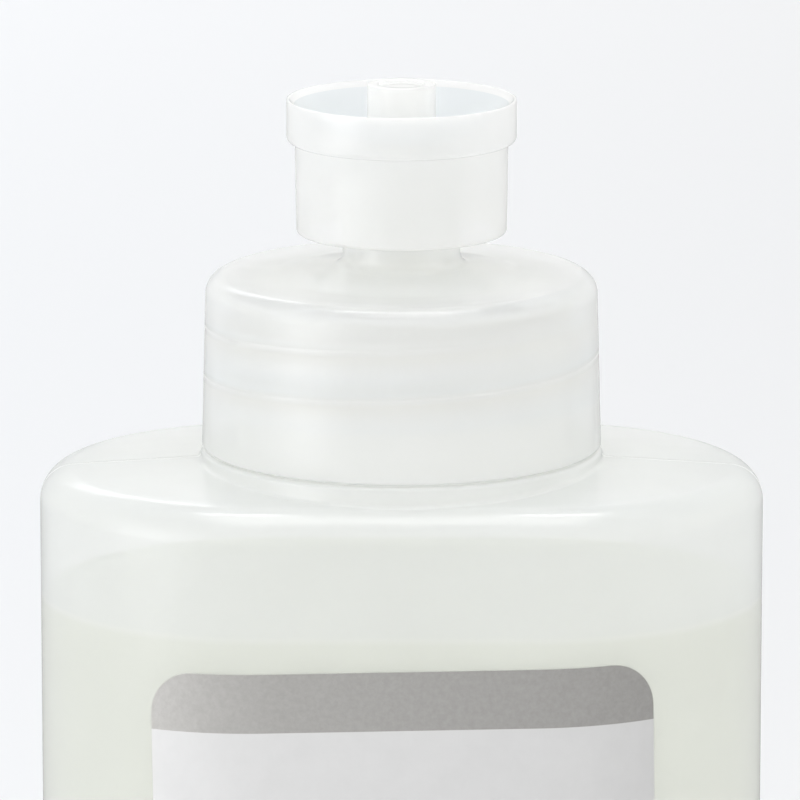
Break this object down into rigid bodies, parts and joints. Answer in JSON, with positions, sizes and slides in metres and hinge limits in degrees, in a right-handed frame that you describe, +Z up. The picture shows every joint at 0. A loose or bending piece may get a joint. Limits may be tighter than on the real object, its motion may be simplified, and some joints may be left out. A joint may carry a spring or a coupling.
{
  "type": "dish soap bottle",
  "caption": "Upright translucent squeeze bottle with rounded oblong plan, front label, threaded neck, screw cap and push-pull spout, part filled with liquid soap.",
  "frame": {"origin": "on the standing plane, straight below the neck axis, at the middle of the body", "axes": "+Z up along the neck, +X across the broad side, -Y out of the front, where the label is"},
  "size_m": [0.0804, 0.0507, 0.2],
  "materials": {
    "bottle_plastic": "milky translucent, satin gloss",
    "soap_liquid": "clear, faintly yellow-green liquid",
    "label_film": "satin white film with a grey band along its top",
    "cap_plastic": "milky translucent, soft gloss",
    "seal_foam": "dull white closed-cell foam",
    "pull_plastic": "milky white, soft gloss"
  },
  "bodies": {
    "filled_bottle": {"bottle": "bottle_plastic", "soap": "soap_liquid", "front_label": "label_film"},
    "seal": {"seal_ring": "seal_foam"},
    "screw_cap": {"base_cap": "cap_plastic"},
    "pull_spout": {"pull_top": "pull_plastic"}
  },
  "joints": [
    {"name": "cap_lift", "type": "slide", "parent": "filled_bottle", "child": "seal", "axis": [0, 0, 1], "range_m": [0, 0.022]},
    {"name": "cap_turn", "type": "hinge", "parent": "seal", "child": "screw_cap", "pos_m": [0, 0, 0.17], "axis": [0, 0, 1], "range_deg": [0, 1440]},
    {"name": "spout_pull", "type": "slide", "parent": "screw_cap", "child": "pull_spout", "axis": [0, 0, 1], "range_m": [0, 0.0045]}
  ],
  "couplings": [
    {"joint": "cap_lift", "follows": "cap_turn", "m_per_rad": 0.00087535}
  ]
}
